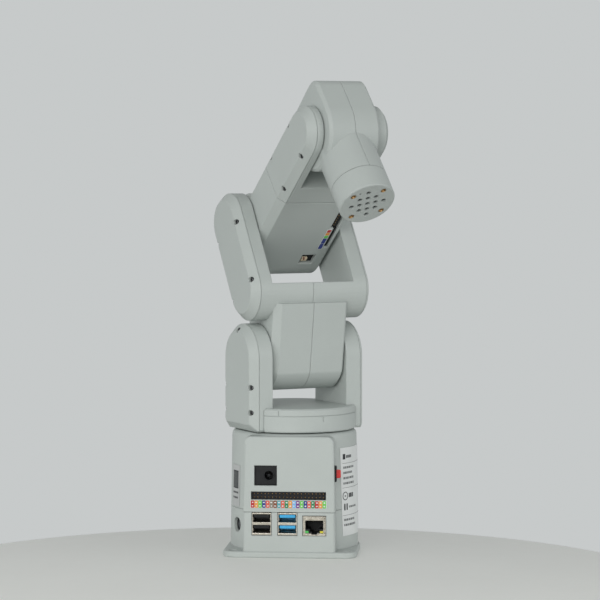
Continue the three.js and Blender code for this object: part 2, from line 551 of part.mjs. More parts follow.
function buildForearm() {
  const frame = inArm(FORE);
  const seamX = ROLL_SEAM - SEAM;
  let s = elbowTube(110).subtract(box(seamX, 200, -50, 50, -50, 50));
  const hub = new THREE.CylinderGeometry(11, 11, 2, 36);
  for (const y of [-FORE_HALF - 0.8, FORE_HALF + 0.8]) {
    const g = hub.clone();
    g.translate(0, y, AXIS_DROP);
    s = s.add(solid(g));
  }
  s = s.subtract(box(-16, 60, -26, 26, -14.6, 14.6));
  // underside: long header slot along the right edge, square socket near the elbow
  s = s.subtract(box(2.5, 43, 23.2, 26.2, -25, -10).subtract(box(0, 60, -26, 26, -14.6, 14.6)));
  s = s.subtract(box(-16, -6, 10.3, 21.1, -25, -10));
  s = s.subtract(box(24, 43, 20.4, 25.6, -25, -10).subtract(box(0, 60, -26, 26, -14.6, 14.6)));
  piece('forearm_shell', s, SHELL, frame);
  const strip = box(1, 23, 18.8, 22.4, -FORE_DEPTH - 0.35, -FORE_DEPTH - 0.05);
  piece('forearm_colour_strip', strip, WHITE, frame);
  let socket = box(-15.6, -6.4, 10.7, 20.7, -15.6, -12.7);
  socket = socket.subtract(box(-14.6, -7.4, 11.7, 19.7, -25, -13.7));
  piece('forearm_socket', socket, CREAM, frame);
  const board = box(-15.7, 48, -24, 25.4, -12.4, -10.8);
  piece('forearm_board', board, GREEN, frame);
  let pins = box(25, 42, 21.1, 23.7, -15, -12.7);
  for (let k = 0; k < 6; k++) {
    const x = 27.1 + k * PIN_PITCH;
    pins = pins.add(box(x - 0.32, x + 0.32, 22.1, 22.74, -FORE_DEPTH + 0.6, -14));
  }
  piece('forearm_pins', pins, BRASS, frame);
  piece('roll_servo', box(14, 49, -12, 12, -10, 13.6), BLACK, frame);
}

// ---------------------------------------------------------------- wrist fork
const wristScrews = [[-7.9, 13.8], [-7.9, -13.8], [-42.4, 13.8], [-42.4, -13.8]];

function buildWristFork() {
  const frame = inArm(FORE).multiply(new THREE.Matrix4().makeTranslation(FORE_LEN, 0, 0));
  const seam = ROLL_SEAM + SEAM - FORE_LEN;
  let raw = tube(-150, 0).subtract(box(-300, seam, -50, 50, -50, 50));
  raw = raw.subtract(box(-WRIST_FLOOR, 60, -WRIST_IN, WRIST_IN, -50, 50));
  const bore = new THREE.CylinderGeometry(9.4, 9.4, 100, 36);
  const pocket = box(-WRIST_FLOOR + 3, 11, -60, -WRIST_IN - 2.2, -11.5, 11.5);
  const slab = (y0, y1) => box(-200, 60, y0, y1, -60, 60);
  const cut = -FORE_HALF + COVER_T;
  let body = raw.subtract(slab(-60, cut + SEAM)).subtract(slab(FORE_HALF - THIN_COVER_T - SEAM, 60));
  body = body.subtract(pocket).subtract(solid(bore).subtract(pocket));
  body = body.subtract(box(seam - 1, -WRIST_FLOOR - 3.5, -16, 16, -13, 13));
  piece('wrist_frame', body, SHELL, frame);
  let cover = raw.intersect(slab(-60, cut));
  for (const [x, z] of wristScrews) cover = cover.subtract(seat(x, z, -FORE_HALF));
  cover = cover.subtract(box(-WRIST_FLOOR + 4, 10, -FORE_HALF + 2.4, cut + 1, -11, 11));
  piece('wrist_left_cover', cover, SHELL, frame);
  wristScrews.forEach(([x, z], k) => piece(`wrist_screw_${k + 1}`, screw(x, z, -FORE_HALF), STEEL, frame));
  piece('wrist_right_cover', raw.intersect(slab(FORE_HALF - THIN_COVER_T, 60)), SHELL, frame);
  const servo = box(-WRIST_FLOOR + 4.5, 9.5, -FORE_HALF + 2.8, -WRIST_IN - 3.4, -10.5, 10.5);
  piece('wrist_servo', servo, BLACK, frame);
}

// ---------------------------------------------------------------- wrist head and flange
function headOutline(inset) {
  const r = HEAD_R - inset, back = -HEAD_BACK + inset, c = HEAD_CORNER;
  const q = c - inset;
  return [...arc(0, 0, r, 0, 180, 28), ...arc(-HEAD_R + c, -HEAD_BACK + c, q, 180, 270, 6),
    ...arc(HEAD_R - c, -HEAD_BACK + c, q, 270, 360, 6)];
}

function buildHead() {
  const frame = inArm(HEAD);
  let s = sidePlate(headOutline, [[-HEAD_HALF, HEAD_CHAMFER], [-HEAD_HALF + HEAD_CHAMFER, 0],
    [HEAD_HALF - HEAD_CHAMFER, 0], [HEAD_HALF, HEAD_CHAMFER]]);
  s = s.add(rod(NECK_R, 4, NECK_END, 64));
  const hub = new THREE.CylinderGeometry(9, 9, 2 * (WRIST_IN + 1.8), 36);
  s = s.add(solid(hub));
  s = s.subtract(box(-12.4, 12.4, -12.4, 12.4, 6, NECK_END - 3));
  s = s.subtract(rod(6.5, NECK_END - 4, NECK_END + 1, 24));
  piece('head_left_half', s.intersect(box(-60, 60, -60, -SEAM / 2, -60, 80)), SHELL, frame);
  piece('head_right_half', s.intersect(box(-60, 60, SEAM / 2, 60, -60, 80)), SHELL, frame);
  piece('flange_servo', box(-12, 12, -12, 12, 8, NECK_END - 3.6).add(rod(6, NECK_END - 5, NECK_END - 0.3, 24)),
    BLACK, frame);
  buildFlange(frame);
}

function buildFlange(frame) {
  const turned = frame.clone().multiply(new THREE.Matrix4().makeRotationZ(FLANGE_TURN * RAD));
  let s = upright((i) => circle(i, 64), [[NECK_END + GAP, NECK_R], [FLANGE_END - 0.8, FLANGE_R + 0.1],
    [FLANGE_END, FLANGE_R - 0.6]]);
  const spots = [];
  for (let i = -2; i <= 2; i++) for (let j = -2; j <= 2; j++) {
    if (Math.abs(i) + Math.abs(j) < 3 && !(Math.abs(i) === 2 && j !== 0) && !(Math.abs(j) === 2 && i !== 0)) {
      spots.push([i, j]);
    }
  }
  for (const [i, j] of spots) {
    s = s.subtract(moved(rod(HOLE_R, FLANGE_END - 6, FLANGE_END + 1, 16), i * HOLE_PITCH, j * HOLE_PITCH, 0));
  }
  const at = INSERT_AT * HOLE_PITCH;
  const corners = [[-at, -at], [-at, at], [at, -at], [at, at]];
  for (const [x, y] of corners) s = s.subtract(moved(rod(2.05, FLANGE_END - 6, FLANGE_END + 1, 20), x, y, 0));
  const dimple = rod(0.7, FLANGE_END - 1, FLANGE_END + 1, 12);
  s = s.subtract(moved(dimple, -2.12 * HOLE_PITCH, -1.05 * HOLE_PITCH, 0));
  piece('tool_flange', s, SHELL, turned);
  corners.forEach(([x, y], k) => {
    const sleeve = rod(1.85, FLANGE_END - 5.7, FLANGE_END - 0.15, 20);
    const ring = sleeve.subtract(rod(1.15, FLANGE_END - 5, FLANGE_END + 1, 16));
    piece(`flange_insert_${k + 1}`, moved(ring, x, y, 0), BRASS, turned);
  });
}

buildBase();
buildTurret();
buildUpperArm();
buildForearm();
buildWristFork();
buildHead();

export default group;
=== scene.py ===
"""Desktop six-axis robot arm on a round computer base: its looks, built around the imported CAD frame.

Metres, +Z up, base front towards -Y. Mesh work is done in millimetres in local frames taken from the joints.
"""
import json
import math
import random

import bmesh
import bpy
from mathutils import Matrix, Vector
from mathutils.bvhtree import BVHTree


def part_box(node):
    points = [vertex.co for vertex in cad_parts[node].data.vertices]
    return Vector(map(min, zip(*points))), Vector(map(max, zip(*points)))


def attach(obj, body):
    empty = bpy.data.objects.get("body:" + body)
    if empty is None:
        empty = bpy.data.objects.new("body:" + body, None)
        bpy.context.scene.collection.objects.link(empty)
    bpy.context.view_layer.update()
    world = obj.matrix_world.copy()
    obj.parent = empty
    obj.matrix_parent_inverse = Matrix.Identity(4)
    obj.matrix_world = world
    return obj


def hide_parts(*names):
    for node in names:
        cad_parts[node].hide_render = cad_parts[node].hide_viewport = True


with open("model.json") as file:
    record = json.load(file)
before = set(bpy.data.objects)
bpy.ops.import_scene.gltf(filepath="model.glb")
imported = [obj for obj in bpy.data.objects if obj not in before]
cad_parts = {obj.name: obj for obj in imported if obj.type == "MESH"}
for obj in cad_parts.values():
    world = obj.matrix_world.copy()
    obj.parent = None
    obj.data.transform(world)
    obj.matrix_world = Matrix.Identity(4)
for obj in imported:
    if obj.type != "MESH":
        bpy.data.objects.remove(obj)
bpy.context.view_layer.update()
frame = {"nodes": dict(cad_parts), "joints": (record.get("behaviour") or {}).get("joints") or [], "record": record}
draws = random.Random(7)

MM = 0.001
JOINTS = {j["name"]: j for j in frame["joints"]}

# ---- sizes that the details share with the CAD parts, in millimetres ----
BASE_R_FOOT, BASE_R_TOP, BASE_H = 45.4, 44.0, 86.0
PANEL_Y = -45.6
BOARD_TOP = 15.8
HEADER_X, HEADER_Z, STRIP_Z = -0.25, 43.4, 37.5
PIN_PITCH, PIN_COLS = 2.54, 20
USB_X = {"usb2": -19.0, "usb3": -1.0}
USB_STOREY, TONGUE_UNDERSIDE = 7.5, 5.58
LAN_X = 17.75
JACK_X, JACK_Z = -14.0, 57.4
LAMP_TURN, LAMP_Z, LAMP_FLOOR = 31.4, 20.1, 41.3
CELL_PITCH = 2.63
ROLL_SEAM, FORE_DEPTH = 52.8, 18.6
FLANGE_END, FLANGE_TURN, HOLE_PITCH, INSERT_AT = 64.2, 17.5, 5.66, 1.87
PRINT_LIFT = 0.34

# ---- edge roundings, in millimetres, and how they are tried: share of the width, and corner style ----
SHELL_ROUND, FLANGE_ROUND, SCREW_ROUND, SERVO_ROUND = 0.5, 0.3, 0.14, 0.8
ROUNDING_TRIES = ((1, "MITER_ARC"), (1, "MITER_SHARP"), (0.6, "MITER_SHARP"), (0.35, "MITER_SHARP"),
                  (0.18, "MITER_SHARP"))

# ---- the table top, in metres ----
FLOOR_R, FLOOR_BACK = 0.27, 0.107


# ---------------------------------------------------------------- local frames
def joint_point(name):
    return Vector(JOINTS[name]["pos_m"])


def joint_axis(name):
    return Vector(JOINTS[name]["axis"]).normalized()


def local_frame(origin, x, y):
    """Millimetres in a frame with these x and y axes, into the row frame's metres."""
    axes = Matrix((x, y, x.cross(y))).transposed().to_4x4()
    return Matrix.Translation(origin) @ axes @ Matrix.Scale(MM, 4)


SIDE = joint_axis("shoulder_bend")
BASE = Matrix.Scale(MM, 4)
roll_axis = joint_axis("forearm_roll")
FORE = local_frame(joint_point("forearm_roll") - roll_axis * ROLL_SEAM * MM, roll_axis, SIDE)
flange_axis = joint_axis("flange_turn")
HEAD = local_frame(joint_point("wrist_bend"), SIDE.cross(flange_axis), SIDE)
FLANGE = HEAD @ Matrix.Rotation(math.radians(FLANGE_TURN), 4, "Z")


# ---------------------------------------------------------------- materials
class Finish:
    """A node material being made: one shader, and the procedural textures that feed it."""

    def __init__(self, name, roughness, metallic=0.0, **sockets):
        self.material = bpy.data.materials.new(name)
        self.material.use_nodes = True
        self.tree = self.material.node_tree
        self.shader = self.tree.nodes["Principled BSDF"]
        self.shader.inputs["Roughness"].default_value = roughness
        self.shader.inputs["Metallic"].default_value = metallic
        for socket, value in sockets.items():
            self.shader.inputs[socket.replace("_", " ")].default_value = value
        self.place = self.node("ShaderNodeTexCoord").outputs["Object"]
        self.soft = None

    def node(self, kind, inputs=(), **settings):
        made = self.tree.nodes.new(kind)
        for key, value in settings.items():
            setattr(made, key, value)
        for socket, value in dict(inputs).items():
            if isinstance(value, bpy.types.NodeSocket):
                self.tree.links.new(value, made.inputs[socket])
            else:
                made.inputs[socket].default_value = value
        return made

    def noise(self, size_mm, detail=3.0, stretch=(1, 1, 1)):
        """Noise whose features are about size_mm across."""
        where = self.place
        if stretch != (1, 1, 1):
            where = self.node("ShaderNodeMapping", {"Vector": where, "Scale": stretch}).outputs[0]
        inputs = {"Vector": where, "Scale": 1 / (size_mm * MM), "Detail": detail}
        made = self.node("ShaderNodeTexNoise", inputs)
        return made.outputs["Fac"]

    def between(self, value, low, high, start=0.25, end=0.75):
        made = self.node("ShaderNodeMapRange", {"Value": value, "From Min": start, "From Max": end,
                                                "To Min": low, "To Max": high})
        return made.outputs["Result"]

    def mix(self, share, first, second, how="MIX"):
        made = self.node("ShaderNodeMix", data_type="RGBA", blend_type=how, clamp_result=False)
        for socket, value in ((made.inputs[0], share), (made.inputs[6], first), (made.inputs[7], second)):
            if isinstance(value, bpy.types.NodeSocket):
                self.tree.links.new(value, socket)
            else:
                socket.default_value = value
        return made.outputs[2]

    def math(self, operation, first, second):
        return self.node("ShaderNodeMath", {0: first, 1: second}, operation=operation).outputs[0]

    def edges(self, radius_mm, reach=0.06):
        """1 on rounded outer edges and corners, 0 on flat and hollow places."""
        # The finishes lighten their colour with this mask: a painted highlight on rounded edges.
        soft = self.node("ShaderNodeBevel", {"Radius": radius_mm * MM}, samples=4).outputs[0]
        self.soft = soft
        true = self.node("ShaderNodeNewGeometry")
        dot = self.node("ShaderNodeVectorMath", {0: soft, 1: true.outputs["Normal"]}, operation="DOT_PRODUCT")
        bend = self.between(dot.outputs["Value"], 1.0, 0.0, 1 - reach, 1.0)
        outer = self.between(true.outputs["Pointiness"], 0.0, 1.0, 0.5, 0.53)
        return self.math("MULTIPLY", bend, outer)

    def colour(self, value):
        self.tree.links.new(value, self.shader.inputs["Base Color"])

    def roughness(self, value):
        self.tree.links.new(value, self.shader.inputs["Roughness"])

    def bump(self, *layers):
        """Layers of (height, depth in mm, strength), stacked on the softened surface."""
        normal = self.soft
        for height, depth_mm, strength in layers:
            inputs = {"Height": height, "Distance": depth_mm * MM, "Strength": strength}
            if normal is not None:
                inputs["Normal"] = normal
            normal = self.node("ShaderNodeBump", inputs).outputs[0]
        self.tree.links.new(normal, self.shader.inputs["Normal"])


def shade(rgb, factor):
    return (rgb[0] * factor, rgb[1] * factor, rgb[2] * factor, 1)


def satin_shell():
    """Pale grey-green nylon with a fine satin grain, faint clouding and a painted highlight on the rounded edges,
    broken up in patches.
    """
    grey = (0.490, 0.527, 0.507)
    f = Finish("satin_shell", 0.5, IOR=1.47)
    clouds, grain, specks = f.noise(38, 3), f.noise(0.55, 2), f.noise(0.22, 1)
    base = f.mix(f.between(clouds, 0, 1), shade(grey, 0.965), shade(grey, 1.03))
    base = f.mix(f.between(grain, 0, 0.5), base, shade(grey, 0.93))
    base = f.mix(f.between(specks, 0, 0.16, 0.62, 0.72), base, shade(grey, 1.22))
    # Painted highlight: the rounded edges are lightened in patches, standing in for light caught on them.
    painted_edge_highlight = f.math("MULTIPLY", f.edges(0.9), f.between(f.noise(6, 4), 0.15, 0.55))
    f.colour(f.mix(painted_edge_highlight, base, shade(grey, 1.18)))
    f.roughness(f.math("ADD", f.between(clouds, 0.40, 0.46), f.between(grain, 0.0, 0.12)))
    f.bump((grain, 0.018, 0.55), (specks, 0.012, 0.4), (f.noise(24, 2), 0.05, 0.12))
    return f.material


def black_plastic():
    """Black engineering plastic: moulded grain and a little grey bloom."""
    black = (0.0075, 0.008, 0.009)
    f = Finish("black_plastic", 0.5, IOR=1.38)
    grain, bloom = f.noise(0.35, 3), f.noise(7, 4)
    base = f.mix(f.between(bloom, 0, 1), shade(black, 0.8), shade(black, 1.7))
    # Painted highlight: the rounded edges are lightened to grey.
    f.colour(f.mix(f.edges(0.5), base, shade(black, 3.2)))
    f.roughness(f.between(grain, 0.38, 0.58))
    f.bump((grain, 0.02, 0.5))
    return f.material


def bright_plastic(name, rgb, roughness=0.35):
    """Moulded coloured plastic with a soft gloss."""
    f = Finish(name, roughness, IOR=1.5)
    grain, clouds = f.noise(0.4, 2), f.noise(3, 3)
    base = f.mix(f.between(clouds, 0, 1), shade(rgb, 0.86), shade(rgb, 1.1))
    # Painted highlight: the rounded edges are lightened at half strength.
    f.colour(f.mix(f.math("MULTIPLY", f.edges(0.4), 0.5), base, shade(rgb, 1.6)))
    f.roughness(f.between(grain, roughness - 0.06, roughness + 0.08))
    f.bump((grain, 0.01, 0.35))
    return f.material


def plated_steel():
    """Nickel-plated sheet: fine drawing lines, dull smudges, darker seams."""
    f = Finish("plated_steel", 0.28, metallic=1.0, Anisotropic=0.3)
    lines, smudge = f.noise(0.3, 3, (0.06, 1, 1)), f.noise(2.5, 4)
    base = f.mix(f.between(smudge, 0, 1), (0.46, 0.42, 0.35, 1), (0.74, 0.69, 0.60, 1))
    # Painted highlight: the rounded edges are lightened to a pale warm tone.
    f.colour(f.mix(f.edges(0.4), base, (0.95, 0.90, 0.80, 1)))
    f.roughness(f.math("ADD", f.between(lines, 0.18, 0.3), f.between(smudge, 0.0, 0.12)))
    f.bump((lines, 0.006, 0.4))
    return f.material


def black_steel():
    """Black-oxide screws: dark and oily, with a painted highlight in grey on rounded edges such as the socket's
    rim.
    """
    f = Finish("black_steel", 0.38, metallic=1.0)
    pits, smudge = f.noise(0.18, 3), f.noise(1.2, 4)
    base = f.mix(f.between(smudge, 0, 1), (0.045, 0.046, 0.05, 1), (0.12, 0.12, 0.125, 1))
    # Painted highlight: the rounded edges, the socket's rim among them, are lightened to grey.
    f.colour(f.mix(f.edges(0.25), base, (0.34, 0.34, 0.35, 1)))
    f.roughness(f.between(pits, 0.28, 0.5))
    f.bump((pits, 0.01, 0.4))
    return f.material


def bright_brass():
    """Turned brass: rings from the cutting tool and a warm, uneven tarnish."""
    f = Finish("bright_brass", 0.24, metallic=1.0)
    smudge, lines = f.noise(1.1, 4), f.noise(0.16, 2, (1, 1, 0.2))
    base = f.mix(f.between(smudge, 0, 1), (0.30, 0.17, 0.075, 1), (0.58, 0.38, 0.18, 1))
    # Painted highlight: the rounded edges are lightened to a pale brass tone.
    f.colour(f.mix(f.edges(0.2), base, (0.72, 0.55, 0.33, 1)))
    f.roughness(f.between(lines, 0.16, 0.36))
    f.bump((lines, 0.008, 0.4))
    return f.material


def circuit_board():
    """Green solder mask over copper: darker laminate cloud and the faint relief of the tracks."""
    f = Finish("circuit_board", 0.32, IOR=1.52)
    cloud = f.noise(9, 3)
    tracks = f.node("ShaderNodeTexVoronoi", {"Vector": f.place, "Scale": 420.0, "Randomness": 0.35},
                    feature="DISTANCE_TO_EDGE").outputs["Distance"]
    base = f.mix(f.between(cloud, 0, 1), (0.010, 0.085, 0.034, 1), (0.018, 0.14, 0.055, 1))
    f.colour(f.mix(f.between(tracks, 0.55, 0.0, 0.02, 0.14), base, (0.045, 0.24, 0.09, 1)))
    f.roughness(f.between(f.noise(0.6, 2), 0.26, 0.4))
    f.bump((tracks, 0.03, 0.35))
    return f.material


def label_film(name, tone):
    """Printed film: faint fibres and a soft sheen, white or toned down to grey."""
    f = Finish(name, 0.42, IOR=1.45)
    fibre, cloud = f.noise(0.5, 4, (1, 1, 0.25)), f.noise(11, 3)
    base = f.mix(f.between(cloud, 0, 1), shade((0.72, 0.74, 0.735), tone), shade((0.80, 0.815, 0.81), tone))
    f.colour(f.mix(f.between(fibre, 0, 0.25), base, shade((0.66, 0.67, 0.66), tone)))
    f.roughness(f.between(fibre, 0.34, 0.48))
    f.bump((fibre, 0.008, 0.3), (cloud, 0.03, 0.15))
    return f.material


def ink(name, rgb):
    """Printed colour with slightly uneven cover."""
    f = Finish(name, 0.45, IOR=1.45)
    cover = f.noise(0.35, 4)
    f.colour(f.mix(f.between(cover, 0, 1), shade(rgb, 0.85), shade(rgb, 1.12)))
    f.roughness(f.between(cover, 0.38, 0.52))
    f.bump((cover, 0.005, 0.3))
    return f.material


def lamp_lens(name, rgb):
    """A small clear-tinted indicator lens, moulded with a frosted inside."""
    f = Finish(name, 0.2, IOR=1.5)
    frost = f.noise(0.3, 3)
    f.colour(f.mix(f.between(frost, 0, 1), shade(rgb, 0.75), shade(rgb, 1.2)))
    f.roughness(f.between(frost, 0.12, 0.3))
    f.bump((frost, 0.01, 0.4))
    return f.material


SHELL = satin_shell()
BLACK = black_plastic()
BLUE = bright_plastic("blue_plastic", (0.05, 0.42, 0.78), 0.32)
RED = bright_plastic("red_plastic", (0.62, 0.035, 0.03), 0.3)
CREAM = bright_plastic("cream_plastic", (0.78, 0.66, 0.47), 0.42)
STEEL = plated_steel()
SCREW = black_steel()
BRASS = bright_brass()
GREEN = circuit_board()
FILM = label_film("label_film", 1.0)
SILVER_FILM = label_film("silver_film", 0.62)
PRINT = ink("ink_black", (0.025, 0.027, 0.03))
PRINT_GREY = ink("ink_grey", (0.17, 0.18, 0.18))
BY_SLOT = {"shell": SHELL, "black_plastic": BLACK, "blue_plastic": BLUE, "steel": STEEL, "brass": BRASS,
           "label": FILM, "circuit_board": GREEN, "red_plastic": RED, "cream_plastic": CREAM}
SLOT_OF = {p["node"]: p["material_slot"] for p in frame["record"]["subparts"]}
BODY_OF = {n: b for b, nodes in frame["record"]["behaviour"]["bodies"].items() for n in nodes}


def finish_cad_nodes():
    """Every CAD node gets its slot's finish; screws are black oxide rather than bright plate."""
    for name, node in frame["nodes"].items():
        node.data.materials.clear()
        node.data.materials.append(SCREW if "screw" in name else BY_SLOT[SLOT_OF[name]])


# ---------------------------------------------------------------- mesh work
def loft(rings, capped=True):
    """A closed solid through rings of points, each ring with the same number of points."""
    bm = bmesh.new()
    loops = [[bm.verts.new(p) for p in ring] for ring in rings]
    count = len(rings[0])
    for low, high in zip(loops, loops[1:]):
        for i in range(count):
            j = (i + 1) % count
            bm.faces.new((low[i], low[j], high[j], high[i]))
    if capped:
        bm.faces.new(loops[0][::-1])
        bm.faces.new(loops[-1])
    bmesh.ops.recalc_face_normals(bm, faces=bm.faces)
    return bm


def lathe(profile, steps=32):
    """A solid of revolution about z: a closed profile of (radius, z)."""
    bm = bmesh.new()
    rows = []
    for k in range(steps):
        a = 2 * math.pi * k / steps
        rows.append([bm.verts.new((r * math.cos(a), r * math.sin(a), z)) for r, z in profile])
    for k in range(steps):
        here, there = rows[k], rows[(k + 1) % steps]
        for i in range(len(profile)):
            j = (i + 1) % len(profile)
            bm.faces.new((here[i], there[i], there[j], here[j]))
    bmesh.ops.remove_doubles(bm, verts=bm.verts, dist=1e-5)
    bmesh.ops.recalc_face_normals(bm, faces=bm.faces)
    return bm


def outline(w, h, r, steps=4):
    """A rounded rectangle about the origin."""
    points = []
    for corner, (sx, sy) in enumerate(((1, 1), (-1, 1), (-1, -1), (1, -1))):
        for i in range(steps + 1):
            a = math.radians(90 * (corner + i / steps))
            points.append((sx * (w / 2 - r) + r * math.cos(a), sy * (h / 2 - r) + r * math.sin(a)))
    return points


def slab(w, h, z0, z1, r=0.4, edge=0.12, steps=4):
    """A flat rounded block with softened edges, from z0 to z1."""
    e = min(edge, (z1 - z0) * 0.45, r * 0.9)
    rings = []
    for z, inset in ((z0, e), (z0 + e * 0.3, e * 0.3), (z0 + e, 0),
                     (z1 - e, 0), (z1 - e * 0.3, e * 0.3), (z1, e)):
        ring = outline(w - 2 * inset, h - 2 * inset, max(r - inset, 0.01), steps)
        rings.append([(x, y, z) for x, y in ring])
    return loft(rings)


def rod_along(points, radius, steps=12):
    """A round wire through the points, with closed ends."""
    rings = []
    for i, p in enumerate(points):
        ahead = (points[min(i + 1, len(points) - 1)] - points[max(i - 1, 0)]).normalized()
        turn = ahead.to_track_quat("Z", "Y")
        rings.append([p + turn @ Vector((radius * math.cos(a), radius * math.sin(a), 0))
                      for a in (2 * math.pi * k / steps for k in range(steps))])
    return loft(rings)


def merge(bm, part, place=Matrix(), index=0):
    """Adds one solid to another mesh, placed and with its own material index."""
    for face in part.faces:
        face.material_index = index
    part.transform(place)
    mesh = bpy.data.meshes.new("part")
    part.to_mesh(mesh)
    part.free()
    bm.from_mesh(mesh)
    bpy.data.meshes.remove(mesh)


def at(x, y, z, turn=0.0, axis="Z"):
    return Matrix.Translation((x, y, z)) @ Matrix.Rotation(math.radians(turn), 4, axis)


def facing_front(x, y, z):
    """A part drawn in x and y with +z towards the viewer, stood up on the base's front face."""
    return Matrix.Translation((x, y, z)) @ Matrix.Rotation(math.radians(90), 4, "X")


def make_piece(name, bm, place, body, materials, stands_for=(), smooth=38):
    """Finishes mesh work in millimetres as a piece in metres that rides on a body."""
    mesh = bpy.data.meshes.new(name)
    bm.transform(place)
    bm.to_mesh(mesh)
    bm.free()
    for material in materials:
        mesh.materials.append(material)
    return finish_piece(name, mesh, body, stands_for, smooth)


def finish_piece(name, mesh, body, stands_for, smooth):
    mesh.shade_smooth()
    mesh.set_sharp_from_angle(angle=math.radians(smooth))
    piece = bpy.data.objects.new(name, mesh)
    bpy.context.scene.collection.objects.link(piece)
    piece.modifiers.new("normals", "WEIGHTED_NORMAL").keep_sharp = True
    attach(piece, body)
    if stands_for:
        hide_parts(*stands_for)
    return piece


def edge_room(edge):
    """How wide a rounding the faces beside an edge have room for, in millimetres."""
    room = 9.0
    for vert in edge.verts:
        along = (edge.other_vert(vert).co - vert.co).normalized()
        for other in vert.link_edges:
            step = other.other_vert(vert).co - vert.co
            across = step.cross(along).length
            if other is not edge and across > 0.4 * step.length:
                room = min(room, 0.46 * across)
    return room


def surface_points(mesh):
    """Points spread over a mesh: a few on each triangle, more on the large ones."""
    mesh.calc_loop_triangles()
    points = []
    for tri in mesh.loop_triangles:
        a, b, c = (mesh.vertices[i].co for i in tri.vertices)
        points.append((a + b + c) / 3)
        if tri.area > 2.0:
            points += [a * 0.6 + (b + c) * 0.2, b * 0.6 + (a + c) * 0.2, c * 0.6 + (a + b) * 0.2]
    return points


def surface_tree(mesh):
    mesh.calc_loop_triangles()
    return BVHTree.FromPolygons([v.co for v in mesh.vertices], [tri.vertices for tri in mesh.loop_triangles])


def same_surface(first, second, reach):
    """Whether each of two meshes lies within reach of the other everywhere."""
    for mesh, other in ((first, second), (second, first)):
        tree = surface_tree(other)
        for point in surface_points(mesh):
            if tree.find_nearest(point, reach)[0] is None:
                return False
    return True


def folded(rounded, source):
    """Whether any triangle of the rounded mesh faces back into the part."""
    tree = surface_tree(source)
    rounded.calc_loop_triangles()
    for tri in rounded.loop_triangles:
        if tri.area > 0.01:
            nearest = tree.find_nearest(tri.center)
            if nearest[1].dot(tri.normal) < -0.1:
                return True
    return False


def rounded_copy(source, width, sharp_deg, miter):
    """The CAD mesh in millimetres with its flat facets joined and its sharp edges rounded."""
    bm = bmesh.new()
    bm.from_mesh(source)
    bmesh.ops.dissolve_limit(bm, angle_limit=math.radians(1.0), verts=bm.verts, edges=bm.edges)
    weight = bm.edges.layers.float.new("bevel_weight_edge")
    for edge in bm.edges:
        if len(edge.link_faces) == 2 and edge.calc_face_angle(0) > math.radians(sharp_deg):
            edge[weight] = min(width, edge_room(edge)) / width
    mesh = bpy.data.meshes.new("work")
    bm.to_mesh(mesh)
    bm.free()
    work = bpy.data.objects.new("work", mesh)
    bpy.context.scene.collection.objects.link(work)
    bevel = work.modifiers.new("round", "BEVEL")
    bevel.limit_method = "WEIGHT"
    bevel.width = width
    bevel.segments = 3
    bevel.use_clamp_overlap = False
    bevel.loop_slide = False
    bevel.miter_outer = miter
    depsgraph = bpy.context.evaluated_depsgraph_get()
    rounded = bpy.data.meshes.new_from_object(work.evaluated_get(depsgraph))
    bpy.data.objects.remove(work)
    bpy.data.meshes.remove(mesh)
    return rounded


def plain_copy(node, source, finish):
    """A CAD part with smooth curves and sharp edges, standing for the node; its finish softens the edges."""
    source.transform(Matrix.Scale(MM, 4))
    source.materials.clear()
    source.materials.append(finish)
    return finish_piece(node + "_fine", source, BODY_OF[node], (node,), 33)


def refined(node, width, sharp_deg=33, material=None):
    """A copy of a CAD part with its sharp edges rounded, standing for the node.

    A rounding that would strain the surface anywhere is tried again narrower; failing all, the edges
    stay sharp.
    """
    bm = bmesh.new()
    bm.from_mesh(frame["nodes"][node].data)
    bm.transform(Matrix.Scale(1 / MM, 4))
    bmesh.ops.remove_doubles(bm, verts=bm.verts, dist=0.004)
    source = bpy.data.meshes.new("source")
    bm.to_mesh(source)
    bm.free()
    stored = source.attributes.get("custom_normal")
    if stored:
        source.attributes.remove(stored)
    finish = material or BY_SLOT[SLOT_OF[node]]
    if not width:
        return plain_copy(node, source, finish)
    for share, miter in ROUNDING_TRIES:
        rounded = rounded_copy(source, width * share, sharp_deg, miter)
        if same_surface(source, rounded, 0.75 * width * share + 0.05) and not folded(rounded, source):
            rounded.transform(Matrix.Scale(MM, 4))
            rounded.materials.clear()
            rounded.materials.append(finish)
            bpy.data.meshes.remove(source)
            return finish_piece(node + "_fine", rounded, BODY_OF[node], (node,), 46)
        bpy.data.meshes.remove(rounded)
    return plain_copy(node, source, finish)


# ---------------------------------------------------------------- shells
def build_shells():
    for node in ("base_lower_shell", "base_upper_shell", "turret_drum", "turret_left_housing",
                 "turret_right_housing", "turret_left_cover", "turret_right_cover", "arm_left_half",
                 "arm_right_half", "arm_left_cover", "arm_right_cover", "forearm_shell", "wrist_frame",
                 "wrist_left_cover", "wrist_right_cover", "head_left_half", "head_right_half"):
        refined(node, SHELL_ROUND)
    refined("tool_flange", FLANGE_ROUND)
    for node in frame["nodes"]:
        if "screw" in node:
            refined(node, SCREW_ROUND, material=SCREW)
        elif node.endswith("_servo"):
            refined(node, SERVO_ROUND)


